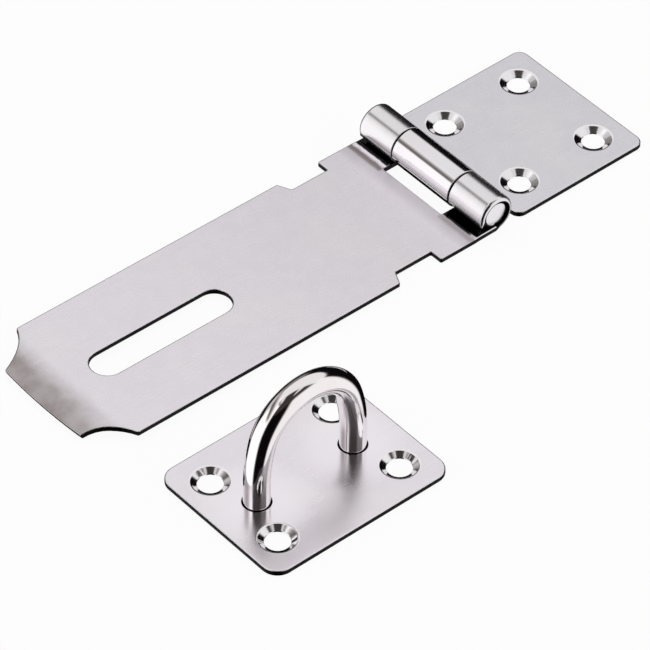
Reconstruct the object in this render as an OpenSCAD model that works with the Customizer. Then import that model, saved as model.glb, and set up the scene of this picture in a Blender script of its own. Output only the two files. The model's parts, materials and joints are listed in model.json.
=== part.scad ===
// Hasp and staple, open flat, with the staple beside the arm.
// Frame: origin at the centre of the leaf's four screw holes, on the face that the leaf
// is fixed by; +X from the arm towards the leaf, +Y across the hinge, +Z away from the door.

/* [Sheet] */
// Thickness of the sheet that the leaf, arm and staple plate are pressed from
sheet_t = 1.2; // [1:0.1:1.5]
// Width of the leaf and of the arm
plate_w = 40; // [38:0.5:44]

/* [Hinge] */
// Diameter of the hinge pin
pin_d = 6.5; // [5.5:0.1:7]
// Radial clearance between the pin and the knuckle that turns on it
running_clearance = 0.05; // [0.02:0.01:0.1]
// Length of the barrel, over both outer knuckles
barrel_l = 39.8; // [37:0.1:40]
// Length of the middle knuckle, which belongs to the leaf
middle_knuckle_l = 17.8; // [14:0.1:20]
// Gap between neighbouring knuckles
knuckle_gap = 0.4; // [0.15:0.05:0.5]
// Length of the pin over its domed ends
pin_l = 39.5; // [37:0.1:40]
// Height of the domes
dome_h = 0.5; // [0.2:0.1:1]
// Angle that each curl leaves open, from its end to the sheet that it comes back to
curl_open = 71; // [48:1:90]

/* [Leaf] */
// Distance from the hinge axis to the outer end of the leaf
leaf_l = 42.7; // [40:0.1:50]
// Distance from the hinge axis to the leaf's shoulders, which clear the outer knuckles
leaf_shoulder = 5.9; // [5.5:0.1:7]
// Radius of the leaf's outer corners
leaf_corner_r = 2.2; // [1:0.1:4]
// Distance from the hinge axis to the nearer row of screw holes
leaf_row_x = 13.55; // [12.5:0.05:14.5]
// Spacing of the screw holes along the leaf
leaf_pitch_x = 21.4; // [18:0.1:24]
// Spacing of the screw holes across the leaf
leaf_pitch_y = 24; // [20:0.1:28]
// Diameter of the leaf's screw holes, below their countersinks
leaf_hole_d = 5.1; // [4:0.1:6]

/* [Arm] */
// Distance from the hinge axis to the end of the finger lip, before the lip is bent
arm_l = 107.3; // [104:0.1:120]
// Distance from the hinge axis to the near end of the slot
slot_near = 57.2; // [50:0.1:62]
// Length of the slot that passes over the staple
slot_l = 36.2; // [34:0.1:38]
// Width of the slot
slot_w = 7.7; // [6.5:0.1:9]
// Distance from the hinge axis to the near end of the side notches
notch_near = 15.75; // [12:0.05:20]
// Length of the side notches at the arm's edge
notch_l = 11.45; // [6:0.05:14]
// Slant of the notches' far ends
notch_slant = 1.55; // [0:0.05:3]
// Depth of the side notches
notch_depth = 3.2; // [1:0.1:5]
// Distance from the hinge axis to the far edge of the opening for the middle knuckle
knuckle_window = 6.3; // [5.5:0.1:8]
// Width of the arm's end, between the hollowed corners
tip_w = 25; // [20:0.5:30]
// Length of the hollowed corners along the arm
hollow_l = 9.05; // [6:0.05:10]
// Radius of the hollowed corners
hollow_r = 13; // [12.5:0.5:20]
// Radius of the slight bow across the arm's end
tip_bow_r = 170; // [80:5:400]
// Radius of the upper face of the lip's bend
lip_r = 16; // [10:0.5:30]
// Angle that the finger lip is bent down by
lip_angle = 24; // [10:1:30]

/* [Staple] */
// Length of the staple plate
staple_l = 47; // [44:0.1:54]
// Width of the staple plate
staple_w = 37; // [34:0.1:42]
// Radius of the staple plate's corners
staple_corner_r = 3.8; // [2:0.1:6]
// Spacing of the staple's screw holes along its plate
staple_pitch_x = 32.2; // [30:0.1:35]
// Spacing of the staple's screw holes across its plate
staple_pitch_y = 21; // [18:0.1:25]
// Diameter of the staple's screw holes, below their countersinks
staple_hole_d = 5.5; // [4:0.1:6]
// Diameter of the staple's round bar
bar_d = 5.7; // [5:0.1:6.3]
// Spacing of the staple's legs, centre to centre
leg_pitch = 25.4; // [24:0.1:28]
// Height of the legs' straight stretch over the fixing face
leg_straight = 6.25; // [5:0.05:10]
// Radius of the bar's centre line at each shoulder of the loop
shoulder_r = 36.7; // [30:0.1:45]
// Distance from the hinge axis to the middle of the staple, as it lies beside the arm
staple_from_hinge = 78.5; // [75:0.5:90]
// Distance from the arm's centre line to the middle of the staple
staple_beside = 49.6; // [42:0.1:60]

/* [Countersinks] */
// Diameter of every countersink at the sheet's upper face
countersink_d = 8.3; // [7:0.1:9]
// Height of the straight land left under a countersink
land_h = 0.3; // [0.1:0.05:0.5]
// Gap between a staple leg and its hole in the plate
leg_gap = 0.25; // [0.1:0.05:0.3]
// Depth of the riveted foot that holds a staple leg from behind
rivet_h = 0.7; // [0.4:0.1:0.8]
// Diameter of the riveted foot at the fixing face
rivet_d = 8; // [7:0.1:9]

/* [Hidden] */
$fn = 96;
// How far a cutter reaches past the faces that it cuts
past = 1;
// How far a bend is swept past the plane that cuts it off
past_angle = 5;
pin_r = pin_d / 2;
// The arm's curls grip the pin; the leaf's curl turns on it
arm_knuckle_r = pin_r + sheet_t;
leaf_knuckle_r = pin_r + running_clearance + sheet_t;
// The hinge axis, with the leaf's fixing face at z = 0
hinge_x = -(leaf_row_x + leaf_pitch_x / 2);
hinge_z = leaf_knuckle_r;
outer_knuckle_l = (barrel_l - middle_knuckle_l) / 2 - knuckle_gap;
window_w = middle_knuckle_l + 2 * knuckle_gap;
// The flat stretch of the arm ends where the lip's bend begins
lip_arc = lip_r * lip_angle * PI / 180;
arm_flat = arm_l - lip_arc;
// Lower edge of the lip's end, from the hinge axis, when the arm lies level
lip_end_x = arm_flat + (lip_r - sheet_t) * sin(lip_angle);
lip_end_drop = arm_knuckle_r - sheet_t + lip_r - (lip_r - sheet_t) * cos(lip_angle);
// The open arm leans on its lip, whose lower edge meets the plane of the fixing face
lip_reach = norm([lip_end_x, lip_end_drop]);
rest_tilt = acos(hinge_z / lip_reach) - atan2(lip_end_x, lip_end_drop);
// The lip's end as seen from above, in the middle and, set back by the bow, at its corners
arm_end = arm_flat + lip_r * sin(lip_angle);
tip_corner = arm_end - tip_bow_r + sqrt(tip_bow_r * tip_bow_r - tip_w * tip_w / 4);
staple_x = hinge_x - staple_from_hinge;
staple_y = -staple_beside;
bar_r = bar_d / 2;
leg_x = leg_pitch / 2;
// Each shoulder turns by this much before the tighter crown takes over
shoulder_angle = atan2(7, 24);
crown_r = shoulder_r - (shoulder_r - leg_x) / cos(shoulder_angle);
crown_z = leg_straight + (shoulder_r - crown_r) * sin(shoulder_angle);

// A sheet curled about the Y axis, counter-clockwise from start when seen from -Y
module curled_sheet(outer_r, start, sweep, width)
    rotate([90, -start, 0])
        rotate_extrude(angle = sweep)
            translate([outer_r - sheet_t, -width / 2])
                square([sheet_t, width]);

// A round bar bent about the Y axis, counter-clockwise from start when seen from -Y
module bent_bar(bend_r, start, sweep)
    rotate([90, -start, 0])
        rotate_extrude(angle = sweep)
            translate([bend_r, 0])
                circle(r = bar_r, $fn = 48);

// A flat sheet with rounded corners, centred, standing on z = 0
module rounded_sheet(length, width, corner_r)
    linear_extrude(sheet_t)
        union() {
            square([length - 2 * corner_r, width], center = true);
            square([length, width - 2 * corner_r], center = true);
            for (sx = [-1, 1], sy = [-1, 1])
                translate([sx * (length / 2 - corner_r), sy * (width / 2 - corner_r)])
                    circle(r = corner_r);
        }

// What a drill and a countersink take out of the sheet at one screw hole
module screw_hole(hole_d) {
    translate([0, 0, -past])
        cylinder(h = sheet_t + 2 * past, d = hole_d);
    translate([0, 0, land_h])
        cylinder(h = sheet_t - land_h, d1 = hole_d, d2 = countersink_d);
    translate([0, 0, sheet_t])
        cylinder(h = past, d = countersink_d);
}

// Children at the four corners of a rectangle
module at_corners(pitch_x, pitch_y)
    for (sx = [-1, 1], sy = [-1, 1])
        translate([sx * pitch_x / 2, sy * pitch_y / 2, 0])
            children();

// Leaf's flat sheet: full width from the shoulders out, knuckle width in to the hinge axis
module leaf_sheet() {
    full_l = leaf_l - leaf_shoulder;
    translate([leaf_shoulder + full_l / 2, 0, 0])
        rounded_sheet(full_l, plate_w, leaf_corner_r);
    translate([0, -middle_knuckle_l / 2, 0])
        cube([leaf_l / 2, middle_knuckle_l, sheet_t]);
}

// Fixed leaf with the middle knuckle curled up over the pin
module hinge_leaf()
    color([0.83, 0.82, 0.84])
        translate([hinge_x, 0, 0])
            difference() {
                union() {
                    leaf_sheet();
                    translate([0, 0, hinge_z])
                        mirror([1, 0, 0])
                            knuckle(leaf_knuckle_r, middle_knuckle_l);
                }
                translate([leaf_row_x + leaf_pitch_x / 2, 0, 0])
                    at_corners(leaf_pitch_x, leaf_pitch_y)
                        screw_hole(leaf_hole_d);
            }

// A knuckle about the Y axis, on a sheet that comes in from -X below it
module knuckle(outer_r, width)
    curled_sheet(outer_r, 270, 360 - curl_open, width);

// Outline that the arm's end is cut to: two hollowed corners and a slight bow
module arm_end_cut() {
    run = hollow_l;
    rise = (plate_w - tip_w) / 2;
    chord = norm([run, rise]);
    stand_off = sqrt(hollow_r * hollow_r - chord * chord / 4);
    for (side = [-1, 1])
        translate([
            -tip_corner + run / 2 - stand_off * rise / chord,
            side * (plate_w / 2 - rise / 2 + stand_off * run / chord),
            -lip_r
        ])
            cylinder(h = 2 * lip_r, r = hollow_r);
    translate([-arm_end, 0, -lip_r])
        difference() {
            translate([-2 * past, -plate_w / 2, 0])
                cube([4 * past, plate_w, 2 * lip_r]);
            translate([tip_bow_r, 0, -past])
                cylinder(h = 2 * lip_r + 2 * past, r = tip_bow_r, $fn = 720);
        }
}

// One side notch, on the +Y side
module side_notch() {
    depth_y = plate_w / 2 - notch_depth;
    translate([0, 0, -past])
        linear_extrude(sheet_t + 2 * past)
            polygon([
                [-notch_near, depth_y],
                [-notch_near, plate_w / 2 + past],
                [-notch_near - notch_l, plate_w / 2 + past],
                [-notch_near - notch_l, plate_w / 2],
                [-notch_near - notch_l + notch_slant, depth_y]
            ]);
}

// Slot that passes over the staple
module arm_slot()
    translate([-slot_near - slot_l / 2, 0, -past]) {
        straight = slot_l - slot_w;
        translate([-straight / 2, -slot_w / 2, 0])
            cube([straight, slot_w, sheet_t + 2 * past]);
        for (end = [-1, 1])
            translate([end * straight / 2, 0, 0])
                cylinder(h = sheet_t + 2 * past, d = slot_w);
    }

// Arm's sheet, level, with its under face at z = 0 and the hinge axis over x = 0
module arm_sheet()
    difference() {
        union() {
            translate([-arm_flat, -plate_w / 2, 0])
                cube([arm_flat, plate_w, sheet_t]);
            translate([-arm_flat, 0, sheet_t - lip_r])
                curled_sheet(lip_r, 90, lip_angle, plate_w);
        }
        arm_end_cut();
        arm_slot();
        side_notch();
        mirror([0, 1, 0])
            side_notch();
        // Opening for the leaf's knuckle
        translate([-knuckle_window, -window_w / 2, -past])
            cube([knuckle_window + past, window_w, sheet_t + 2 * past]);
        // The sheet is as long as the barrel where it runs into the curls
        for (side = [-1, 1])
            translate([-arm_knuckle_r, side * (barrel_l / 2 + past) - past, -past])
                cube([arm_knuckle_r + past, 2 * past, sheet_t + 2 * past]);
    }

// Swinging arm with its two outer knuckles, leaning on its finger lip
module hasp_arm()
    color([0.87, 0.85, 0.87])
        at_hinge() {
            translate([0, 0, -arm_knuckle_r])
                arm_sheet();
            for (side = [-1, 1])
                translate([0, side * (barrel_l - outer_knuckle_l) / 2, 0])
                    knuckle(arm_knuckle_r, outer_knuckle_l);
        }

// Children placed on the hinge axis at the arm's rest angle
module at_hinge()
    translate([hinge_x, 0, hinge_z])
        rotate([0, rest_tilt, 0])
            children();

// Half of the pin, from the middle to a low dome at its +Z end
module half_pin() {
    dome_r = (pin_r * pin_r + dome_h * dome_h) / (2 * dome_h);
    intersection() {
        cylinder(h = pin_l / 2, r = pin_r);
        translate([0, 0, pin_l / 2 - dome_r])
            sphere(r = dome_r);
    }
}

// Hinge pin, gripped by the arm's curls
module hinge_pin()
    color([0.9, 0.9, 0.9])
        at_hinge()
            rotate([90, 0, 0]) {
                half_pin();
                mirror([0, 0, 1])
                    half_pin();
            }

// Staple's base plate, with holes for four screws and for the two legs
module staple_plate()
    color([0.84, 0.82, 0.85])
        translate([staple_x, staple_y, 0])
            difference() {
                rounded_sheet(staple_l, staple_w, staple_corner_r);
                at_corners(staple_pitch_x, staple_pitch_y)
                    screw_hole(staple_hole_d);
                at_corners(leg_pitch, 0)
                    leg_hole();
            }

// Leg hole, countersunk from the fixing face for the riveted foot
module leg_hole() {
    translate([0, 0, -past])
        cylinder(h = sheet_t + 2 * past, r = bar_r + leg_gap);
    cylinder(h = rivet_h, d1 = rivet_d, d2 = 2 * (bar_r + leg_gap));
}

// Half of the loop, on the +X side: a leg with its riveted foot, a shoulder and half the
// crown. The bends are cut off square where the next stretch begins.
module half_loop() {
    cut = 3 * crown_r;
    translate([leg_x, 0, 0]) {
        cylinder(h = leg_straight, r = bar_r, $fn = 48);
        cylinder(h = rivet_h, r1 = rivet_d / 2, r2 = bar_r + leg_gap);
    }
    difference() {
        translate([leg_x - shoulder_r, 0, leg_straight])
            bent_bar(shoulder_r, 0, shoulder_angle + past_angle);
        translate([crown_r * cos(shoulder_angle), 0, crown_z + crown_r * sin(shoulder_angle)])
            rotate([0, -shoulder_angle, 0])
                translate([-cut / 2, -cut / 2, 0])
                    cube(cut);
    }
    difference() {
        translate([0, 0, crown_z])
            bent_bar(crown_r, shoulder_angle, 90 - shoulder_angle + past_angle);
        translate([-cut, -cut / 2, 0])
            cube(cut);
    }
}

// Round bar bent into a loop, with both legs riveted through the plate
module staple_loop()
    color([0.92, 0.92, 0.93])
        translate([staple_x, staple_y, 0]) {
            half_loop();
            mirror([1, 0, 0])
                half_loop();
        }

hinge_leaf();
hasp_arm();
hinge_pin();
staple_plate();
staple_loop();
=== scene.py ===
"""Looks of a hasp and staple: pressed stainless sheet, a rolled hinge barrel and a bar loop.

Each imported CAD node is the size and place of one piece. The pieces made here stand for those
nodes, with rounded edges, true curls and steel finishes. Shapes are worked out in millimetres
and turned into metres when a mesh is made.
"""
import json
import math

import bpy
import numpy as np
from mathutils import Matrix, Vector
from mathutils.geometry import delaunay_2d_cdt


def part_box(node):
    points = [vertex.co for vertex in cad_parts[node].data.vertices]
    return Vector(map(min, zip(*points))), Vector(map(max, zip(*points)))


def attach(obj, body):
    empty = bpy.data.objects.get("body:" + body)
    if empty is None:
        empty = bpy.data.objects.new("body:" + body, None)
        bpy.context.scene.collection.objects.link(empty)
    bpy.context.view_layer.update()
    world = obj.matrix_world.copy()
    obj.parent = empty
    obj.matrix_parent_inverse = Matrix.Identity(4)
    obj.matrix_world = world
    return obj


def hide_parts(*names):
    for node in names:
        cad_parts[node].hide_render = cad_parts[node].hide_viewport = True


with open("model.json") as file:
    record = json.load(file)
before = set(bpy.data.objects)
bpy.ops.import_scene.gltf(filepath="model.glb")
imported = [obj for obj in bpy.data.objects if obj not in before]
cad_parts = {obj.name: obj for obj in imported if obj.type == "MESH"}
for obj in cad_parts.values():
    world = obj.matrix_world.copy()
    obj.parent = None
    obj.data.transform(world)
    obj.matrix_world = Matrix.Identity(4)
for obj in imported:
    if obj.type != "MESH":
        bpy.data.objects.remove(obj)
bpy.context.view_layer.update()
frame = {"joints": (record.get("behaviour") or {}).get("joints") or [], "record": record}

MM = 0.001

# ---------------------------------------------------------------- sizes, in millimetres


def box_mm(node):
    """Lowest and highest corner of a CAD node, in millimetres."""
    low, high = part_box(node)
    return np.array(low) / MM, np.array(high) / MM


def mount_mm(name):
    """Place of a mount, in millimetres, and its dimensions."""
    mount = next(m for m in frame["record"]["mounts"] if m["name"] == name)
    return np.array(mount["pos_m"], float) / MM, mount["dims"]


LEAF_LOW, LEAF_HIGH = box_mm("hinge_leaf")
PLATE_LOW, PLATE_HIGH = box_mm("staple_plate")
PIN_LOW, PIN_HIGH = box_mm("hinge_pin")
LEAF_SCREWS, LEAF_PATTERN = mount_mm("leaf_screws")
STAPLE_SCREWS, STAPLE_PATTERN = mount_mm("staple_screws")
HINGE = next(j for j in frame["joints"] if j["name"] == "arm_hinge")
HINGE_X, HINGE_Y, HINGE_Z = (value / MM for value in HINGE["pos_m"])

SHEET_T = PLATE_HIGH[2] - PLATE_LOW[2]
PLATE_W = LEAF_HIGH[1] - LEAF_LOW[1]
LEAF_L = LEAF_HIGH[0] - HINGE_X
PIN_L = PIN_HIGH[1] - PIN_LOW[1]
PIN_R = 3.25
DOME_H = 0.5
RUNNING_CLEARANCE = 0.05
BARREL_L = 39.8
MIDDLE_KNUCKLE_L = 17.8
KNUCKLE_GAP = 0.4
CURL_TURN = math.radians(289)
# The arm's far curl, on the +Y side, is rolled a little further than the others
FAR_CURL_TURN = math.radians(303)
ARM_KNUCKLE_R = PIN_R + SHEET_T
LEAF_KNUCKLE_R = ARM_KNUCKLE_R + RUNNING_CLEARANCE

LEAF_SHOULDER = 5.9
LEAF_CORNER_R = 2.2

ARM_L = 107.3
SLOT_NEAR = 57.2
SLOT_L = 36.2
SLOT_W = 7.7
NOTCH_NEAR = 15.75
NOTCH_L = 11.45
NOTCH_SLANT = 1.55
NOTCH_DEPTH = 3.2
WINDOW_FAR = 6.3
TIP_W = 25
HOLLOW_L = 9.05
HOLLOW_R = 13
TIP_BOW_R = 170
LIP_R = 16
LIP_ANGLE = math.radians(24)

STAPLE_CORNER_R = 3.8
BAR_R = 2.85
LEG_PITCH = 25.4
LEG_STRAIGHT = 6.25
SHOULDER_R = 36.7
SHOULDER_ANGLE = math.atan2(7, 24)
RIVET_H = 0.7
RIVET_R = 4

COUNTERSINK_R = 4.15
LAND_H = 0.3
LEG_GAP = 0.25

# Rounding of edges: upper and lower edges of the sheet, bores, seams and ends of the barrel
EDGE_TOP = 0.36
EDGE_BORE = 0.2
EDGE_BOTTOM = 0.06
EDGE_SEAM = 0.16
EDGE_BARREL_END = 0.85
PIN_RIM = 0.55
SINK_RIM = 0.9
CORNER_BLEND = 0.38

# Marks on the arm, painted shade and wear, in metres from the hinge axis along its sheet. Each
# pair is where a mark is still absent and where it is full; a band has one pair for each of its
# sides.
LIP_BEND_SHADE = (0.098, 0.1045)
SMOOTH_STRIP = (0.0064, 0.0056)
CREASE_SHADOW = (0.0064, 0.006)
BROWN_SHADE_BAND = ((0.006, 0.0067), (0.0081, 0.0071))
SCUFFED_BAND = ((0.0058, 0.0066), (0.011, 0.008))
# The same across the sheet, in metres from its centre line
BESIDE_TONGUE = (0.009, 0.0098)
CREASE_SHADOW_FADE = (-0.0193, -0.0175)

# How far the roughness of steel varies, as a share of it, and how much the grain's streaks tint
ROUGHNESS_SPREAD = 0.12
STREAK_TINT = 0.04

# The arm's curls are a little flat at one place: its angle round the curl, spread and lean
CURL_FLAT = math.radians(214)
CURL_FLAT_SPREAD = math.radians(11)
CURL_FLAT_LEAN = math.radians(-9.5)

CURL_STEP = math.radians(4.5)
LIP_STEP = math.radians(2)
ARC_STEP = math.radians(7)

# ---------------------------------------------------------------- materials


class Nodes:
    """Small helper that adds shader nodes to one tree and wires them."""

    def __init__(self, tree):
        self.tree = tree
        self.tree.nodes.clear()

    def add(self, kind, settings=None, **inputs):
        """New node of a kind. An input's name is written with _ for each space."""
        node = self.tree.nodes.new(kind)
        for name, value in (settings or {}).items():
            setattr(node, name, value)
        for name, value in inputs.items():
            self.put(node, name.replace("_", " "), value)
        return node

    def put(self, node, name, value):
        """Wire or set the input of that name or place."""
        socket = node.inputs[name]
        if isinstance(value, bpy.types.NodeSocket):
            self.tree.links.new(value, socket)
        else:
            socket.default_value = value

    def math(self, operation, first, second=0.0, third=0.0, clamp=False):
        """Result of a sum on up to three values."""
        node = self.tree.nodes.new("ShaderNodeMath")
        node.operation = operation
        node.use_clamp = clamp
        for place, value in enumerate((first, second, third)):
            self.put(node, place, value)
        return node.outputs[0]

    def scaled(self, value, where, change):
        """value, changed by that share of itself where the mask is 1."""
        return self.math("MULTIPLY", value, self.math("MULTIPLY_ADD", where, change, 1.0))

    def band(self, value, sides):
        """1 inside a band of value, with a soft side at each end."""
        return self.math("MULTIPLY", self.ramp(value, *sides[0]), self.ramp(value, *sides[1]))

    def ramp(self, value, low, high, out_low=0.0, out_high=1.0):
        """Smooth step of value from low to high."""
        node = self.tree.nodes.new("ShaderNodeMapRange")
        node.interpolation_type = "SMOOTHSTEP"
        self.put(node, "Value", value)
        self.put(node, "From Min", low)
        self.put(node, "From Max", high)
        self.put(node, "To Min", out_low)
        self.put(node, "To Max", out_high)
        return node.outputs[0]

    def mix(self, factor, first, second):
        """Mix of two colours."""
        node = self.tree.nodes.new("ShaderNodeMix")
        node.data_type = "RGBA"
        for place, value in ((0, factor), (6, first), (7, second)):
            self.put(node, place, value)
        return node.outputs[2]

    def noise(self, vector, scale, detail=2.0, roughness=0.5):
        """Noise from 0 to 1, finer as scale grows."""
        node = self.add("ShaderNodeTexNoise", Scale=scale, Detail=detail, Roughness=roughness)
        self.put(node, "Vector", vector)
        return node.outputs["Fac"]

    def stretched(self, vector, along, across):
        """vector scaled by along in X and by across in Y and Z."""
        node = self.add("ShaderNodeMapping", Vector=vector, Scale=(along, across, across))
        return node.outputs[0]

    def metal(self, colour, roughness, bump):
        """Bare metal as the tree's surface."""
        shader = self.add("ShaderNodeBsdfPrincipled", Metallic=1.0, Roughness=roughness)
        self.put(shader, "Normal", bump.outputs[0])
        self.put(shader, "Base Color", colour)
        self.add("ShaderNodeOutputMaterial", Surface=shader.outputs[0])

    def dot(self, vector, azimuth):
        """Part of vector that points level towards azimuth, in degrees from +X."""
        a = math.radians(azimuth)
        node = self.add("ShaderNodeVectorMath", {"operation": "DOT_PRODUCT"})
        self.put(node, 0, vector)
        self.put(node, 1, (math.cos(a), math.sin(a), 0))
        return node.outputs["Value"]


def grey(value, warm=0.0):
    """A near-neutral colour; warm above 0 leans to brown."""
    return (value * (1 + warm), value, value * (1 - warm), 1)


def steel(name, colour, stain, roughness, grain_along, grain_across, grain_depth,
          on_sheet=True, local=None):
    """Stainless steel. The grain is a stretched noise that drives bump and roughness, and stain
    is the colour of the broad faint patches. local changes the colour and roughness from place
    to place on the sheet."""
    material = bpy.data.materials.new(name)
    material.use_nodes = True
    n = Nodes(material.node_tree)
    if on_sheet:
        place = n.add("ShaderNodeUVMap", {"uv_map": "flat"}).outputs[0]
    else:
        place = n.add("ShaderNodeTexCoord").outputs["Object"]
    grain = n.noise(n.stretched(place, grain_along, grain_across), 1.0, 4.0, 0.6)
    patches = n.noise(place, 55.0, 2.0)
    smudges = n.noise(place, 260.0, 4.0, 0.65)
    tinted = n.mix(n.ramp(patches, 0.35, 0.75), colour, stain)
    streaks = n.math("MULTIPLY", n.ramp(grain, 0.3, 0.7), STREAK_TINT)
    shade = n.mix(streaks, tinted, grey(0.6))
    wander = n.math("ADD", n.math("MULTIPLY", smudges, 0.5), n.math("MULTIPLY", grain, 0.5))
    low, high = roughness * (1 - ROUGHNESS_SPREAD), roughness * (1 + ROUGHNESS_SPREAD)
    rough = n.ramp(wander, 0.25, 0.75, low, high)
    if local:
        shade, rough = local(n, place, smudges, shade, rough)
    bump = n.add("ShaderNodeBump", Strength=1.0, Distance=grain_depth, Height=grain)
    n.metal(shade, rough, bump)
    return material


def arm_ends_shade_and_wear(n, place, smudges, shade, rough):
    """The arm's two worked ends, with painted shade and wear. The sheet is painted a little darker
    towards the hinge, and the lip a warm grey where it bends, both as painted shade. The strip
    beside the barrel is smooth and painted near black as the barrel's shadow, then painted brown
    as shade and scuffed further out."""
    parts = n.add("ShaderNodeSeparateXYZ", Vector=place)
    from_hinge, from_middle = parts.outputs[0], parts.outputs[1]

    def ragged(distance, reach):
        """distance, moved either way by up to reach from place to place."""
        return n.math("ADD", distance, n.math("MULTIPLY_ADD", smudges, 2 * reach, -reach))

    along = ragged(from_hinge, 0.0012)
    # Painted shade: towards the hinge the sheet is mixed up to a tenth of the way to dark grey.
    shade = n.mix(n.ramp(along, 0.09, 0.0, 0.0, 0.1), shade, grey(0.2))
    # Painted shade of the lip's bend: a patchy warm grey, less towards the -Y side.
    blotches = n.ramp(n.noise(place, 140.0, 3.0), 0.3, 0.7, 0.72, 1.05)
    lip_shade_mask = n.math("MULTIPLY", n.ramp(along, *LIP_BEND_SHADE), blotches)
    less_at_side = n.ramp(from_middle, -0.016, -0.004, 0.7, 1.0)
    lip_shade_mask = n.math("MULTIPLY", lip_shade_mask, less_at_side, clamp=True)
    # Colours of painted shade: on the lip, in the band beside the barrel and under the barrel.
    lip_shade_grey, brown, black = (0.36, 0.32, 0.31, 1), (0.2, 0.15, 0.13, 1), grey(0.012)
    shade = n.mix(lip_shade_mask, shade, lip_shade_grey)
    beside = ragged(from_hinge, 0.0004)
    tongue = n.ramp(n.math("ABSOLUTE", from_middle), *BESIDE_TONGUE)
    # Painted brown shade in a band beside the outer knuckles, stronger towards +Y.
    brown_shade = n.band(beside, BROWN_SHADE_BAND)
    brown_shade = n.math("MULTIPLY", brown_shade, n.ramp(from_middle, -0.012, 0.012, 0.35, 0.75))
    shade = n.mix(n.math("MULTIPLY", brown_shade, tongue), shade, brown)
    # Painted shadow, near black, on the sheet under the barrel. On the -Y side it reaches further
    # out, and it fades out towards the sheet's edge.
    reach = n.math("ADD", beside, n.ramp(from_middle, -0.008, 0.008, 0.0, 0.0009))
    crease_shadow = n.math("MULTIPLY", n.ramp(reach, *CREASE_SHADOW), tongue)
    crease_shadow = n.math("MULTIPLY", crease_shadow, n.ramp(ragged(from_middle, 0.002), *CREASE_SHADOW_FADE))
    shade = n.mix(crease_shadow, shade, black)
    rough = n.scaled(rough, n.ramp(beside, *SMOOTH_STRIP), -0.6)
    rough = n.scaled(rough, n.band(beside, SCUFFED_BAND), 0.7)
    return shade, rough


def worn_feet(n, place, smudges, shade, rough):
    """The staple's plate is smoother round each leg, where the foot was riveted over."""
    middle = (PLATE_HIGH - PLATE_LOW) / 2
    for side in (-1, 1):
        foot = Vector((middle[0] + side * LEG_PITCH / 2, middle[1], 0))
        away = n.add("ShaderNodeVectorMath", {"operation": "DISTANCE"})
        n.put(away, 0, place)
        n.put(away, 1, foot * MM)
        near = n.ramp(away.outputs["Value"], 0.0145, 0.0035)
        rough = n.scaled(rough, near, -0.5)
    return shade, rough


def cut_or_shade_finish(name, colour):
    """Cut side of the sheet, also the pin's shaded side: dull, with the fine upright tears of a
    punch.
    The near-black colours it is given are painted shade, far darker than a real cut.
    """
    material = bpy.data.materials.new(name)
    material.use_nodes = True
    n = Nodes(material.node_tree)
    place = n.add("ShaderNodeTexCoord").outputs["Object"]
    tears = n.add("ShaderNodeMapping", Vector=place, Scale=(3500, 3500, 250)).outputs[0]
    marks = n.noise(tears, 1.0, 3.0, 0.6)
    bump = n.add("ShaderNodeBump", Strength=0.6, Distance=0.00003, Height=marks)
    rough = n.ramp(marks, 0.3, 0.7, 0.38, 0.6)
    torn = grey(colour[0] * 2.2, 0.03)
    n.metal(n.mix(n.ramp(marks, 0.35, 0.8), colour, torn), rough, bump)
    return material


# What a face of a sheet piece shows. sheet() takes the materials in this order.
SATIN, POLISHED, CUT_AND_SHADE, SINK, EDGE, UNDER = range(6)

ARM_SATIN = ((0.90, 0.86, 0.91, 1), (0.91, 0.88, 0.91, 1), 0.28, 60, 5200, 0.0000002)
satin_leaf = steel(
    "satin_leaf", (0.80, 0.79, 0.83, 1), (0.83, 0.82, 0.84, 1), 0.28, 60, 5200, 0.0000002)
satin_arm = steel("satin_arm", *ARM_SATIN, local=arm_ends_shade_and_wear)
satin_arm_back = steel("satin_arm_back", *ARM_SATIN)
satin_staple = steel(
    "satin_staple", (0.94, 0.90, 0.95, 1), (0.96, 0.93, 0.95, 1), 0.3, 60, 4200, 0.0000003,
    local=worn_feet)
polished_leaf = steel(
    "polished_leaf_knuckle", (0.88, 0.86, 0.88, 1), (0.86, 0.83, 0.84, 1), 0.12, 90, 2600,
    0.0000005)
polished_arm = steel(
    "polished_arm_knuckles", (0.87, 0.85, 0.87, 1), (0.85, 0.83, 0.84, 1), 0.25, 90, 2600,
    0.0000006)
polished_sink = steel(
    "polished_countersink", (0.93, 0.91, 0.93, 1), (0.9, 0.88, 0.89, 1), 0.1, 900, 900,
    0.0000005)
polished_bar = steel(
    "polished_bar", (0.94, 0.92, 0.93, 1), (0.92, 0.88, 0.87, 1), 0.09, 500, 500, 0.0000004,
    on_sheet=False)
pin_end = steel(
    "pin_end", (0.86, 0.85, 0.86, 1), (0.7, 0.69, 0.7, 1), 0.22, 1100, 1100, 0.00003,
    on_sheet=False)
# The pin's side and rims are painted near black as the shade inside the knuckles.
pin_side = cut_or_shade_finish("oiled_pin_side", grey(0.02))
# Cut edges near black: a real cut is only a little darker than the faces, the rest is painted
# shade.
sheared_edge = cut_or_shade_finish("sheared_edge", grey(0.006, 0.02))

# ---------------------------------------------------------------- outlines


def unit(vector):
    """The vector at length 1."""
    return vector / np.linalg.norm(vector)


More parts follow.
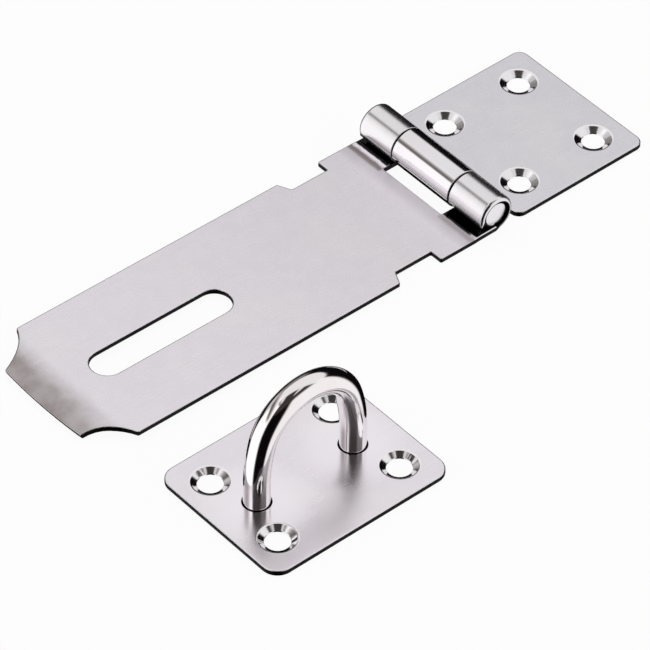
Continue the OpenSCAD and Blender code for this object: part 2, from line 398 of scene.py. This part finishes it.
def rounded(corners, closed=True, steps=0):
    """Points and outward normals along corners (x, y, radius), with the material on the left.
    A corner with a radius becomes an arc. An open line's ends only give its directions."""
    points, normals = [], []
    count = len(corners)
    for i in range(count) if closed else range(1, count - 1):
        here = np.array(corners[i][:2], float)
        back = unit(np.array(corners[i - 1][:2], float) - here)
        on = unit(np.array(corners[(i + 1) % count][:2], float) - here)
        radius = corners[i][2]
        turn = -back[0] * on[1] + back[1] * on[0]
        if radius == 0:
            points.append(here)
            normals.append(unit(np.array((on[1] - back[1], back[0] - on[0]))))
            continue
        half = math.acos(max(-1.0, min(1.0, back @ on))) / 2
        centre = here + unit(back + on) * radius / math.sin(half)
        start = here + back * radius / math.tan(half) - centre
        sweep = math.copysign(math.pi - 2 * half, turn)
        pieces = steps or max(2, math.ceil(abs(sweep) / math.radians(18)))
        for k in range(pieces + 1):
            c, s = math.cos(sweep * k / pieces), math.sin(sweep * k / pieces)
            arm = np.array((c * start[0] - s * start[1], s * start[0] + c * start[1]))
            points.append(centre + arm)
            normals.append(arm / radius * math.copysign(1, turn))
    return np.array(points), np.array(normals)


def arc(centre, radius, start, sweep):
    """Points along an arc, both ends included, as corners with no rounding."""
    x, y = centre
    pieces = max(2, math.ceil(abs(sweep) / ARC_STEP))
    angles = [start + sweep * k / pieces for k in range(pieces + 1)]
    return [(x + radius * math.cos(a), y + radius * math.sin(a), 0) for a in angles]


def circle_hole(x, y, radius):
    """Round hole, clockwise, so that the sheet is on its left."""
    pieces = 64
    turns = [-2 * math.pi * k / pieces for k in range(pieces)]
    spokes = np.array([(math.cos(a), math.sin(a)) for a in turns])
    return np.array((x, y)) + radius * spokes, -spokes


def slot_hole(near, far, width):
    """Slot with round ends, clockwise."""
    radius = width / 2
    spokes, points = [], []
    for x, start in ((far - radius, math.pi / 2), (near + radius, -math.pi / 2)):
        for k in range(25):
            a = start - math.pi * k / 24
            spokes.append((math.cos(a), math.sin(a)))
            points.append((x + radius * math.cos(a), radius * math.sin(a)))
    return np.array(points), -np.array(spokes)


def with_rulings(outline, stations):
    """The closed outline with a point wherever it crosses a line x = station."""
    points, normals = outline
    new_points, new_normals = [], []
    for i in range(len(points)):
        p, q = points[i], points[(i + 1) % len(points)]
        new_points.append(p)
        new_normals.append(normals[i])
        low, high = sorted((p[0], q[0]))
        crossed = [s for s in stations if low + 1e-6 < s < high - 1e-6]
        following = normals[(i + 1) % len(points)]
        for s in sorted(crossed, reverse=bool(p[0] > q[0])):
            share = (s - p[0]) / (q[0] - p[0])
            new_points.append(np.array((s, p[1] + share * (q[1] - p[1]))))
            new_normals.append(unit(normals[i] * (1 - share) + following * share))
    return np.array(new_points), np.array(new_normals)


# ---------------------------------------------------------------- meshes


def make_object(name, points, normals, faces, materials, slots, flat=None):
    """Mesh object, in metres, from points in millimetres, with its own smooth normals."""
    mesh = bpy.data.meshes.new(name)
    mesh.from_pydata([tuple(p * MM) for p in points], [], faces)
    for material in materials:
        mesh.materials.append(material)
    mesh.polygons.foreach_set("material_index", slots)
    mesh.polygons.foreach_set("use_smooth", [True] * len(faces))
    if flat is not None:
        layer = mesh.uv_layers.new(name="flat")
        for loop in mesh.loops:
            layer.data[loop.index].uv = flat[loop.vertex_index] * MM
    mesh.update()
    mesh.normals_split_custom_set_from_vertices([tuple(n) for n in normals])
    obj = bpy.data.objects.new(name, mesh)
    bpy.context.scene.collection.objects.link(obj)
    return obj


def inside(point, loops):
    """True if point is inside an odd number of the loops."""
    odd = False
    for loop in loops:
        a, b = loop, np.roll(loop, -1, axis=0)
        spans = (a[:, 1] > point[1]) != (b[:, 1] > point[1])
        a, b = a[spans], b[spans]
        cross = a[:, 0] + (point[1] - a[:, 1]) * (b[:, 0] - a[:, 0]) / (b[:, 1] - a[:, 1])
        odd ^= bool(np.count_nonzero(cross > point[0]) % 2)
    return odd


def triangles(loops, rulings):
    """Triangles that fill the loops, less their holes, along the ruling lines. The numbers count
    the points of all loops in order."""
    points = np.vstack(loops)
    edges, first = [], 0
    for loop in loops:
        edges += [(first + i, first + (i + 1) % len(loop)) for i in range(len(loop))]
        first += len(loop)
    made = delaunay_2d_cdt([Vector(p) for p in points], edges + rulings, [], 0, 1e-7)
    names = [origin[0] if origin else -1 for origin in made[3]]
    found = []
    for face in made[2]:
        face = [names[v] for v in face]
        if -1 in face:
            raise ValueError("two outlines cross")
        a, b, c = (points[v] for v in face)
        area = (b[0] - a[0]) * (c[1] - a[1]) - (c[0] - a[0]) * (b[1] - a[1])
        if abs(area) > 1e-9 and inside((a + b + c) / 3, loops):
            found.append(face if area > 0 else face[::-1])
    return found


def ruling_pairs(points, stations):
    """Pairs of outline points that the straight lines x = station join through the sheet."""
    pairs = []
    for s in stations:
        on_line = [i for i in range(len(points)) if abs(points[i][0] - s) < 1e-9]
        on_line.sort(key=lambda i: points[i][1])
        pairs += list(zip(on_line[0::2], on_line[1::2]))
    return pairs


def sheet(name, contours, wrap, materials, stations=(), flipped=False):
    """A piece of pressed sheet. Each contour is (points, normals, profile), where profile(i)
    gives the section of the edge at point i, from the upper face to the lower one, as
    (inset, height, normal inwards, normal up, material) rows. wrap(s, y, n) puts a point of the
    flat sheet on the bent one and gives its directions along s and n."""
    places, normals, flats, faces, slots = [], [], [], [], []
    upper_loops, lower_loops, upper_names, lower_names = [], [], [], []
    rulings = []
    for points, outs, profile in contours:
        sections = [profile(p) for p in points]
        depth, count, first = len(sections[0]), len(points), len(places)
        for k in range(depth):
            for i in range(count):
                inset, height, n_in, n_up, _ = sections[i][k]
                s, y = points[i] - outs[i] * inset
                place, along, up = wrap(s, y, height)
                outward = outs[i][0] * along + outs[i][1] * np.array((0.0, 1.0, 0.0))
                places.append(place)
                normals.append(unit(-n_in * outward + n_up * up))
                flats.append((s, y))
        for k in range(depth - 1):
            for i in range(count):
                j = (i + 1) % count
                a, b = first + k * count, first + (k + 1) * count
                faces.append((a + i, b + i, b + j, a + j))
                slots.append(curl_finish(points[i][0], sections[i][k][4]))
        last = first + (depth - 1) * count
        offset = len(upper_names)
        upper_loops.append(np.array(flats[first:first + count]))
        lower_loops.append(np.array(flats[last:last + count]))
        upper_names += range(first, first + count)
        lower_names += range(last, last + count)
        rulings += [(offset + i, offset + j) for i, j in ruling_pairs(points, stations)]
    for face in triangles(upper_loops, rulings):
        faces.append([upper_names[v] for v in face])
        slots.append(curl_finish(np.mean([flats[v][0] for v in faces[-1]]), SATIN))
    for face in triangles(lower_loops, rulings):
        faces.append([lower_names[v] for v in face[::-1]])
        slots.append(curl_finish(np.mean([flats[v][0] for v in faces[-1]]), UNDER))
    if flipped:
        faces = [tuple(face[::-1]) for face in faces]
    used = sorted(set(slots))
    slots = [used.index(kind) for kind in slots]
    materials = [materials[kind] for kind in used]
    return make_object(name, places, normals, faces, materials, slots, np.array(flats))


# How far past the sheet's edge a section's line goes on, to give its direction
FAR = 2 * SHEET_T


def edge_section(top, bottom):
    """Section of a plain edge with the two roundings."""
    corners = [(FAR, SHEET_T, 0), (0, SHEET_T, top), (0, 0, bottom), (FAR, 0, 0)]
    points, normals = rounded(corners, closed=False, steps=5)
    kinds = [SATIN] * 3 + [CUT_AND_SHADE] * 3 + [EDGE] * 5 + [SATIN]
    return [(*p, *n, kind) for p, n, kind in zip(points, normals, kinds)]


def sink_section(hole_r):
    """Section of a countersunk screw hole: rim, cone, land and lower edge."""
    corners = [(FAR * 2, SHEET_T, 0), (COUNTERSINK_R - hole_r, SHEET_T, SINK_RIM),
               (0, LAND_H, 0.1), (0, 0, 0.08), (FAR, 0, 0)]
    points, normals = rounded(corners, closed=False, steps=3)
    kinds = [SINK] * 8 + [EDGE] * 3 + [UNDER]
    return [(*p, *n, kind) for p, n, kind in zip(points, normals, kinds)]


def leg_section():
    """Section of a leg's hole in the staple plate, countersunk from below."""
    corners = [(FAR, SHEET_T, 0), (0, SHEET_T, 0.12), (0, RIVET_H, 0.1),
               (RIVET_R - BAR_R - LEG_GAP, 0, 0.08), (FAR * 2, 0, 0)]
    points, normals = rounded(corners, closed=False, steps=3)
    kinds = [SATIN] * 3 + [CUT_AND_SHADE] * 8 + [UNDER]
    return [(*p, *n, kind) for p, n, kind in zip(points, normals, kinds)]


def constant(section):
    """Profile with the same section at every point."""
    return lambda point: section


# ---------------------------------------------------------------- bends


def knuckle_wrap(axis, side, outer_r, lift, s, y, n):
    """Place on a leaf whose sheet runs towards side (+1 for +X) and curls round the axis where s
    is below 0. lift is the level of the flat sheet's lower face over the axis' plane."""
    if s >= 0:
        place = np.array((side * s, y, lift + n)) + axis
        return place, np.array((side, 0.0, 0.0)), np.array((0.0, 0.0, 1.0))
    turn = -s / outer_r
    reach = outer_r - n
    sine, cosine = math.sin(turn), math.cos(turn)
    place = np.array((-side * reach * sine, y, -reach * cosine)) + axis
    along = np.array((side * cosine, 0.0, -sine))
    return place, along, np.array((side * sine, 0.0, cosine))


def swayed(turn):
    """How far the arm's curls lean off a true circle, as an angle, near CURL_FLAT."""
    off = (turn - CURL_FLAT) / CURL_FLAT_SPREAD
    return CURL_FLAT_LEAN * math.exp(-off * off)


def smooth(value):
    """Smooth step of value from 0 to 1."""
    value = min(1.0, max(0.0, value))
    return value * value * (3 - 2 * value)


def barrel_edges(near_l, far_l, end_y):
    """Edge section along a piece with knuckles: larger rounding on the barrel's outer ends."""

    def section(point):
        s, y = point
        curl_l = far_l if y > 0 else near_l
        in_curl = smooth((0.5 - s) / 2) * smooth((s + curl_l) / 1.5)
        outer = EDGE_BARREL_END if abs(y) > end_y else EDGE_SEAM
        top = EDGE_TOP + in_curl * (EDGE_BORE - EDGE_TOP)
        return edge_section(top, EDGE_BOTTOM + in_curl * (outer - EDGE_BOTTOM))

    return section


def curl_finish(s, kind):
    """Material of a face at s. Knuckles are polished outside, and their bores take the near-black
    cut finish as painted shade; the lower edge of a cut is as dark as the cut, and bright where it
    is the barrel's outer edge."""
    if s < 0:
        return {SATIN: CUT_AND_SHADE, EDGE: POLISHED, UNDER: POLISHED}.get(kind, kind)
    return CUT_AND_SHADE if kind == EDGE else kind


# ---------------------------------------------------------------- pieces


def mirrored(half, other=None):
    """Closed outline from its +Y half, which ends on both sides at the X axis. other is the half
    for the -Y side, drawn on +Y too, if the two differ."""
    return half + [(x, -y, r) for x, y, r in reversed(other or half) if y != 0]


def curl_stations(length):
    """Ruling lines across a curl of that length, measured round its outer face."""
    pieces = round(CURL_TURN / CURL_STEP)
    return [-length * k / pieces for k in range(pieces)]


def leaf_outline(curl_l):
    half_w, half_k = PLATE_W / 2, MIDDLE_KNUCKLE_L / 2
    half = [
        (LEAF_L, half_w, LEAF_CORNER_R),
        (LEAF_SHOULDER, half_w, LEAF_CORNER_R),
        (LEAF_SHOULDER, half_k, CORNER_BLEND),
        (-curl_l, half_k, CORNER_BLEND),
    ]
    return rounded(mirrored(half))


def corners_of(pattern):
    """The four screw positions of a mount's pattern, from its centre."""
    for sx in (-1, 1):
        for sy in (-1, 1):
            yield sx * pattern["spacing_x_mm"] / 2, sy * pattern["spacing_y_mm"] / 2


def hinge_leaf():
    """Fixed leaf, with the middle knuckle."""
    curl_l = LEAF_KNUCKLE_R * CURL_TURN
    stations = curl_stations(curl_l)
    outline = with_rulings(leaf_outline(curl_l), stations)
    edge = barrel_edges(curl_l, curl_l, PLATE_W)
    contours = [(*outline, edge)]
    hole_r = LEAF_PATTERN["hole_r_mm"]
    for x, y in corners_of(LEAF_PATTERN):
        hole = circle_hole(LEAF_SCREWS[0] + x - HINGE_X, LEAF_SCREWS[1] + y, hole_r)
        contours.append((*hole, constant(sink_section(hole_r))))
    axis = np.array((HINGE_X, HINGE_Y, HINGE_Z))

    def wrap(s, y, n):
        return knuckle_wrap(axis, 1, LEAF_KNUCKLE_R, -LEAF_KNUCKLE_R, s, y, n)

    by_kind = (satin_leaf, polished_leaf, sheared_edge, polished_sink, None, satin_leaf)
    return sheet("leaf_with_knuckle", contours, wrap, by_kind, stations)


ARM_FLAT = ARM_L - LIP_R * LIP_ANGLE
ARM_END = ARM_FLAT + LIP_R * math.sin(LIP_ANGLE)


def along_sheet(x):
    """Distance along the arm's sheet of a point that is x from the hinge axis, lip included."""
    if x <= ARM_FLAT:
        return x
    return ARM_FLAT + LIP_R * math.asin(min(math.sin(LIP_ANGLE), (x - ARM_FLAT) / LIP_R))


def arm_half(curl_l):
    """Corners of the arm's +Y half, with a curl of that length."""
    half_w, half_tip = PLATE_W / 2, TIP_W / 2
    bow_centre = ARM_END - TIP_BOW_R
    bow_turn = math.asin(half_tip / TIP_BOW_R)
    tip_corner = bow_centre + math.sqrt(TIP_BOW_R ** 2 - half_tip ** 2)
    bow = []
    for k in range(8):
        a = bow_turn * k / 8
        bow.append((bow_centre + TIP_BOW_R * math.cos(a), TIP_BOW_R * math.sin(a), 0))
    # The hollow is an arc from the tip's corner to the side, with its centre outside the sheet.
    rise = half_w - half_tip
    chord = math.hypot(HOLLOW_L, rise)
    stand_off = math.sqrt(HOLLOW_R ** 2 - chord ** 2 / 4)
    centre = (tip_corner - HOLLOW_L / 2 + stand_off * rise / chord,
              half_w - rise / 2 + stand_off * HOLLOW_L / chord)
    start = math.atan2(half_tip - centre[1], tip_corner - centre[0])
    end = math.atan2(half_w - centre[1], tip_corner - HOLLOW_L - centre[0])
    sweep = (end - start + math.pi) % (2 * math.pi) - math.pi
    hollow = [list(p) for p in arc(centre, HOLLOW_R, start, sweep)]
    hollow[0][2] = CORNER_BLEND
    hollow[-1][2] = CORNER_BLEND
    notch_far = NOTCH_NEAR + NOTCH_L
    return [(along_sheet(x), y, r) for x, y, r in bow + hollow] + [
        (notch_far, half_w, CORNER_BLEND),
        (notch_far - NOTCH_SLANT, half_w - NOTCH_DEPTH, CORNER_BLEND),
        (NOTCH_NEAR, half_w - NOTCH_DEPTH, CORNER_BLEND),
        (NOTCH_NEAR, half_w, CORNER_BLEND),
        (WINDOW_FAR, half_w, 0),
        (ARM_KNUCKLE_R, BARREL_L / 2, 0),
        (-curl_l, BARREL_L / 2, CORNER_BLEND),
        (-curl_l, MIDDLE_KNUCKLE_L / 2 + KNUCKLE_GAP, CORNER_BLEND),
        (WINDOW_FAR, MIDDLE_KNUCKLE_L / 2 + KNUCKLE_GAP, CORNER_BLEND),
    ]


def rest_tilt():
    """Angle that the arm leans by when its lip's lower edge is on the plane of the leaf's back."""
    reach_x = ARM_FLAT + (LIP_R - SHEET_T) * math.sin(LIP_ANGLE)
    drop = ARM_KNUCKLE_R - SHEET_T + LIP_R - (LIP_R - SHEET_T) * math.cos(LIP_ANGLE)
    return math.acos(HINGE_Z / math.hypot(reach_x, drop)) - math.atan2(reach_x, drop)


def hasp_arm():
    """Swinging arm, with the outer knuckles, the slot and the lip."""
    near_l, far_l = ARM_KNUCKLE_R * CURL_TURN, ARM_KNUCKLE_R * FAR_CURL_TURN
    stations = curl_stations(far_l)
    lip_pieces = round(LIP_ANGLE / LIP_STEP)
    stations += [ARM_FLAT + LIP_R * LIP_ANGLE * k / lip_pieces for k in range(lip_pieces)]
    outline = with_rulings(rounded(mirrored(arm_half(far_l), arm_half(near_l))), stations)
    slot = slot_hole(SLOT_NEAR, SLOT_NEAR + SLOT_L, SLOT_W)
    seam_y = MIDDLE_KNUCKLE_L / 2 + KNUCKLE_GAP + 1
    contours = [
        (*outline, barrel_edges(near_l, far_l, seam_y)),
        (*slot, constant(edge_section(EDGE_TOP, EDGE_BOTTOM))),
    ]
    lean = np.array(Matrix.Rotation(rest_tilt(), 3, "Y"))
    axis = np.array((HINGE_X, HINGE_Y, HINGE_Z))

    def wrap(s, y, n):
        if s <= ARM_FLAT:
            placed = knuckle_wrap(np.zeros(3), -1, ARM_KNUCKLE_R, -ARM_KNUCKLE_R, s, y, n)
            if s < 0:
                place, along, up = placed
                lean_by = swayed(-s / ARM_KNUCKLE_R)
                sine, cosine = math.sin(lean_by), math.cos(lean_by)
                placed = place, cosine * along + sine * up, cosine * up - sine * along
        else:
            bend = (s - ARM_FLAT) / LIP_R
            reach = LIP_R - SHEET_T + n
            sine, cosine = math.sin(bend), math.cos(bend)
            height = SHEET_T - ARM_KNUCKLE_R - LIP_R + reach * cosine
            place = np.array((-ARM_FLAT - reach * sine, y, height))
            placed = place, np.array((-cosine, 0.0, -sine)), np.array((-sine, 0.0, cosine))
        place, along, up = placed
        return lean @ place + axis, lean @ along, lean @ up

    by_kind = (satin_arm, polished_arm, sheared_edge, None, None, satin_arm_back)
    return sheet("arm_with_knuckles", contours, wrap, by_kind, stations, flipped=True)


def staple_plate():
    """Base plate of the staple, flat, with its low corner at s = 0, y = 0."""
    length, width = PLATE_HIGH[0] - PLATE_LOW[0], PLATE_HIGH[1] - PLATE_LOW[1]
    corners = [(x, y, STAPLE_CORNER_R)
               for x, y in ((length, width), (0, width), (0, 0), (length, 0))]
    contours = [(*rounded(corners, steps=10), constant(edge_section(EDGE_TOP, EDGE_BOTTOM)))]
    hole_r = STAPLE_PATTERN["hole_r_mm"]
    for x, y in corners_of(STAPLE_PATTERN):
        hole = circle_hole(length / 2 + x, width / 2 + y, hole_r)
        contours.append((*hole, constant(sink_section(hole_r))))
    for side in (-1, 1):
        hole = circle_hole(length / 2 + side * LEG_PITCH / 2, width / 2, BAR_R + LEG_GAP)
        contours.append((*hole, constant(leg_section())))

    # s is never below 0 here, so no face counts as part of a curl.
    def wrap(s, y, n):
        place = np.array((s, y, n)) + PLATE_LOW
        return place, np.array((1.0, 0.0, 0.0)), np.array((0.0, 0.0, 1.0))

    by_kind = (satin_staple, None, sheared_edge, polished_sink, None, satin_staple)
    return sheet("staple_base_plate", contours, wrap, by_kind)


def tube(name, rings, materials):
    """Closed skin over rings of (centre, radius, side direction, up direction, lean), each a
    circle in the plane of side and up. lean tips its normals along the run of the tube."""
    sides = 48
    places, normals, faces = [], [], []
    for centre, radius, side, up, lean in rings:
        run = np.cross(side, up)
        for k in range(sides):
            a = 2 * math.pi * k / sides
            spoke = math.cos(a) * side + math.sin(a) * up
            places.append(centre + radius * spoke)
            normals.append(unit(math.cos(lean) * spoke + math.sin(lean) * run))
    for r in range(len(rings) - 1):
        for k in range(sides):
            j = (k + 1) % sides
            a, b = r * sides, (r + 1) * sides
            faces.append((a + k, a + j, b + j, b + k))
    last = (len(rings) - 1) * sides
    for first, end, order in ((0, 0, -1), (last, -1, 1)):
        centre, _, side, up, _ = rings[end]
        hub = len(places)
        places.append(centre)
        normals.append(order * np.cross(side, up))
        for k in range(sides):
            face = (hub, first + k, first + (k + 1) % sides)
            faces.append(face[::order])
    return make_object(name, places, normals, faces, materials, [0] * len(faces))


def hinge_pin():
    """Pin with a low dome and a rounded rim at each end, along Y."""
    dome_r = (PIN_R ** 2 + DOME_H ** 2) / (2 * DOME_H)
    half = PIN_L / 2
    face_r = PIN_R - PIN_RIM
    section = []
    for k in range(1, 9):
        slope = math.asin(face_r / dome_r) * k / 8
        y = half - dome_r + dome_r * math.cos(slope)
        section.append((dome_r * math.sin(slope), y, math.pi / 2 - slope))
    rim_y = section[-1][1]
    for k in range(1, 6):
        fall = math.pi / 2 * k / 5
        y = rim_y - PIN_RIM + PIN_RIM * math.cos(fall)
        section.append((face_r + PIN_RIM * math.sin(fall), y, math.pi / 2 - fall))
    axis = np.array((HINGE_X, 0.0, HINGE_Z))
    side, up = np.array((0.0, 0.0, 1.0)), np.array((1.0, 0.0, 0.0))
    rings = [(axis - (0, y, 0), r, side, up, -lean) for r, y, lean in section]
    rings += [(axis + (0, y, 0), r, side, up, lean) for r, y, lean in reversed(section)]
    pin = tube("domed_pin", rings, [pin_end, pin_side])
    # Faces off the flat end, the rounded rim and the side, take the pin's near-black painted
    # shade.
    for face in pin.data.polygons:
        off_axis = math.hypot(face.center.x - HINGE_X * MM, face.center.z - HINGE_Z * MM)
        if off_axis > face_r * MM:
            face.material_index = 1
    return pin


def staple_loop():
    """Bar loop: riveted foot, straight leg, shoulder and crown, then the same mirrored."""
    leg_x = LEG_PITCH / 2
    crown_r = SHOULDER_R - (SHOULDER_R - leg_x) / math.cos(SHOULDER_ANGLE)
    crown_z = LEG_STRAIGHT + (SHOULDER_R - crown_r) * math.sin(SHOULDER_ANGLE)
    foot = [(0.02, RIVET_R - 0.1), (0.08, RIVET_R - 0.02), (RIVET_H, BAR_R + LEG_GAP),
            (RIVET_H + 0.05, BAR_R)]
    path = [(leg_x, z, 0.0, r) for z, r in foot]
    path += [(leg_x, SHEET_T + (LEG_STRAIGHT - SHEET_T) * k / 4, 0.0, BAR_R) for k in range(5)]
    for k in range(1, 13):
        a = SHOULDER_ANGLE * k / 12
        x = leg_x - SHOULDER_R + SHOULDER_R * math.cos(a)
        path.append((x, LEG_STRAIGHT + SHOULDER_R * math.sin(a), a, BAR_R))
    for k in range(1, 31):
        a = SHOULDER_ANGLE + (math.pi / 2 - SHOULDER_ANGLE) * k / 30
        path.append((crown_r * math.cos(a), crown_z + crown_r * math.sin(a), a, BAR_R))
    path += [(-x, z, math.pi - a, r) for x, z, a, r in reversed(path[:-1])]
    base = np.array((STAPLE_SCREWS[0], STAPLE_SCREWS[1], 0.0))
    rings = []
    for x, z, a, radius in path:
        side = np.array((math.cos(a), 0.0, math.sin(a)))
        rings.append((base + (x, 0, z), radius, side, np.array((0.0, 1.0, 0.0)), 0.0))
    return tube("riveted_bar_loop", rings, [polished_bar])


# ---------------------------------------------------------------- the object

for make, body, node, slot in (
    (hinge_leaf, "leaf", "hinge_leaf", "leaf_sheet"),
    (hasp_arm, "arm", "hasp_arm", "arm_sheet"),
    (hinge_pin, "arm", "hinge_pin", "pin"),
    (staple_plate, "staple", "staple_plate", "staple_sheet"),
    (staple_loop, "staple", "staple_loop", "loop_bar"),
):
    piece = make()
    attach(piece, body)
    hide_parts(node)

# ---------------------------------------------------------------- stage

CAMERA_AZIMUTH = math.radians(-41.1)
CAMERA_ELEVATION = math.radians(43.5)
CAMERA_ROLL = math.radians(0.81)
CAMERA_TARGET = Vector((-0.070832, -0.018466, 0.0))
CAMERA_DISTANCE = 1.110664
CAMERA_LENS = 296.3
# Azimuth, from +X, of what is behind the object as the camera sees it, and the boxes' levels
BACK_AZIMUTH = 48.9
TOP_LEVEL = 0.86
LEFT_LEVEL = 1.14
RIGHT_LEVEL = 0.96
# Shares of the top box's light in its flanks and in the rest of the room overhead, and how much
# the gap beside it takes away
FLANK_SHARE = 0.9
OVERHEAD_SHARE = 0.1
GAP_CHANGE = -0.76


def make_camera():
    """Long lens that looks at CAMERA_TARGET from CAMERA_AZIMUTH, measured from -Y towards +X."""
    data = bpy.data.cameras.new("camera")
    data.sensor_width = 36
    data.lens = CAMERA_LENS
    data.clip_start, data.clip_end = 0.01, 20
    camera = bpy.data.objects.new("camera", data)
    back = Vector((
        math.sin(CAMERA_AZIMUTH) * math.cos(CAMERA_ELEVATION),
        -math.cos(CAMERA_AZIMUTH) * math.cos(CAMERA_ELEVATION),
        math.sin(CAMERA_ELEVATION),
    ))
    right = Vector((math.cos(CAMERA_AZIMUTH), math.sin(CAMERA_AZIMUTH), 0))
    up = back.cross(right)
    turned_right = math.cos(CAMERA_ROLL) * right + math.sin(CAMERA_ROLL) * up
    turned_up = back.cross(turned_right)
    camera.matrix_world = Matrix((
        (turned_right.x, turned_up.x, back.x, 0),
        (turned_right.y, turned_up.y, back.y, 0),
        (turned_right.z, turned_up.z, back.z, 0),
        (0, 0, 0, 1),
    ))
    camera.location = CAMERA_TARGET + back * CAMERA_DISTANCE
    bpy.context.scene.collection.objects.link(camera)
    bpy.context.scene.camera = camera


def make_world():
    """Studio light as one dome: a tall soft box on each side of the camera, a wide one above and
    behind the object, and dark gaps between them."""
    world = bpy.data.worlds.new("studio")
    world.use_nodes = True
    bpy.context.scene.world = world
    n = Nodes(world.node_tree)
    direction = n.add("ShaderNodeTexCoord").outputs["Generated"]
    parts = n.add("ShaderNodeSeparateXYZ", Vector=direction)
    level = n.add("ShaderNodeCombineXYZ", X=parts.outputs[0], Y=parts.outputs[1])
    across = n.add("ShaderNodeVectorMath", {"operation": "NORMALIZE"})
    n.put(across, 0, level.outputs[0])
    height = parts.outputs[2]

    def above(elevation, soft):
        """1 above that elevation, in degrees, and 0 below it, with a soft edge."""
        low, high = (math.sin(math.radians(elevation + off)) for off in (-soft, soft))
        return n.ramp(height, low, high)

    def box(azimuth, half_width, soft):
        """1 where the heading is within half_width of azimuth, in degrees, with soft sides."""
        outer, inner = (math.cos(math.radians(half_width + off)) for off in (soft, -soft))
        return n.ramp(n.dot(across.outputs[0], azimuth), outer, inner)

    def between(bottom, bottom_soft, top, top_soft):
        """1 between two elevations."""
        under = n.math("SUBTRACT", 1.0, above(top, top_soft))
        return n.math("MULTIPLY", under, above(bottom, bottom_soft))

    left = n.math("MULTIPLY", box(155, 39, 7), between(-56, 4, 60, 5))
    right = n.math("MULTIPLY", box(-60, 38, 7), between(-60, 8, 42, 10))
    sides = n.math("MAXIMUM", left, right)
    sideways = n.dot(direction, BACK_AZIMUTH + 90)
    # The top box ends short of the camera's side, and its left wing hangs lower and is dimmer.
    reach = n.ramp(n.dot(direction, BACK_AZIMUTH), -0.16, -0.02)
    top = n.math("MULTIPLY", above(31.5, 4), reach)
    wing = n.math("MULTIPLY", box(88, 32, 6), above(7, 3))
    wing = n.math("MULTIPLY", wing, n.ramp(sideways, 0.5, 0.75, 0.4, 0.72))
    flanks = n.math("MULTIPLY", n.ramp(n.math("ABSOLUTE", sideways), 0.2, 0.27), above(62, 5))
    faint = n.math("MAXIMUM", wing, n.math("MULTIPLY", flanks, FLANK_SHARE))
    light = n.math("MAXIMUM", n.math("MAXIMUM", sides, top), faint)
    light = n.math("MAXIMUM", light, n.math("MULTIPLY", above(40, 5), OVERHEAD_SHARE))
    # Gap between the top box and the left one.
    gap = n.math("MULTIPLY", n.ramp(sideways, 0.5, 0.8), n.ramp(sideways, 0.88, 0.81))
    gap = n.math("MULTIPLY", gap, above(29, 5))
    light = n.scaled(light, gap, GAP_CHANGE)
    tone = n.add("ShaderNodeValToRGB", Fac=light)
    stops = tone.color_ramp.elements
    stops[0].color = (0.004, 0.003, 0.004, 1)
    stops[1].color = (1.0, 0.99, 1.0, 1)
    for place, colour in ((0.3, (0.15, 0.133, 0.126, 1)), (0.65, (0.60, 0.582, 0.578, 1))):
        stop = stops.new(place)
        stop.color = colour
    strength = n.math("MULTIPLY_ADD", left, LEFT_LEVEL - TOP_LEVEL, TOP_LEVEL)
    strength = n.math("MULTIPLY_ADD", right, RIGHT_LEVEL - TOP_LEVEL, strength)
    glow = n.add("ShaderNodeBackground", Color=tone.outputs[0], Strength=strength)
    paper = n.add("ShaderNodeBackground", Color=(0.975, 0.975, 0.975, 1), Strength=1.0)
    path = n.add("ShaderNodeLightPath")
    mix = n.add("ShaderNodeMixShader", Fac=path.outputs["Is Camera Ray"])
    n.put(mix, 1, glow.outputs[0])
    n.put(mix, 2, paper.outputs[0])
    n.add("ShaderNodeOutputWorld", Surface=mix.outputs[0])


def make_floor():
    """Plain pale floor, with a little light of its own so that shadows on it stay faint."""
    half = 3.0
    level = -0.00005
    mesh = bpy.data.meshes.new("floor")
    corners = [(-half, -half, level), (half, -half, level), (half, half, level),
               (-half, half, level)]
    mesh.from_pydata(corners, [], [(0, 1, 2, 3)])
    floor = bpy.data.objects.new("floor", mesh)
    bpy.context.scene.collection.objects.link(floor)
    material = bpy.data.materials.new("pale_floor")
    material.use_nodes = True
    n = Nodes(material.node_tree)
    place = n.add("ShaderNodeTexCoord").outputs["Object"]
    tone = n.mix(n.noise(place, 6.0), (0.09, 0.09, 0.09, 1), (0.1, 0.1, 0.1, 1))
    matt = n.add("ShaderNodeBsdfDiffuse", Color=tone)
    own = n.add("ShaderNodeEmission", Color=(1, 1, 1, 1), Strength=0.93)
    both = n.add("ShaderNodeAddShader")
    n.put(both, 0, matt.outputs[0])
    n.put(both, 1, own.outputs[0])
    n.add("ShaderNodeOutputMaterial", Surface=both.outputs[0])
    mesh.materials.append(material)
    floor.visible_glossy = False
    floor.visible_diffuse = False


make_camera()
make_world()
make_floor()
bpy.context.scene.view_settings.view_transform = "Standard"
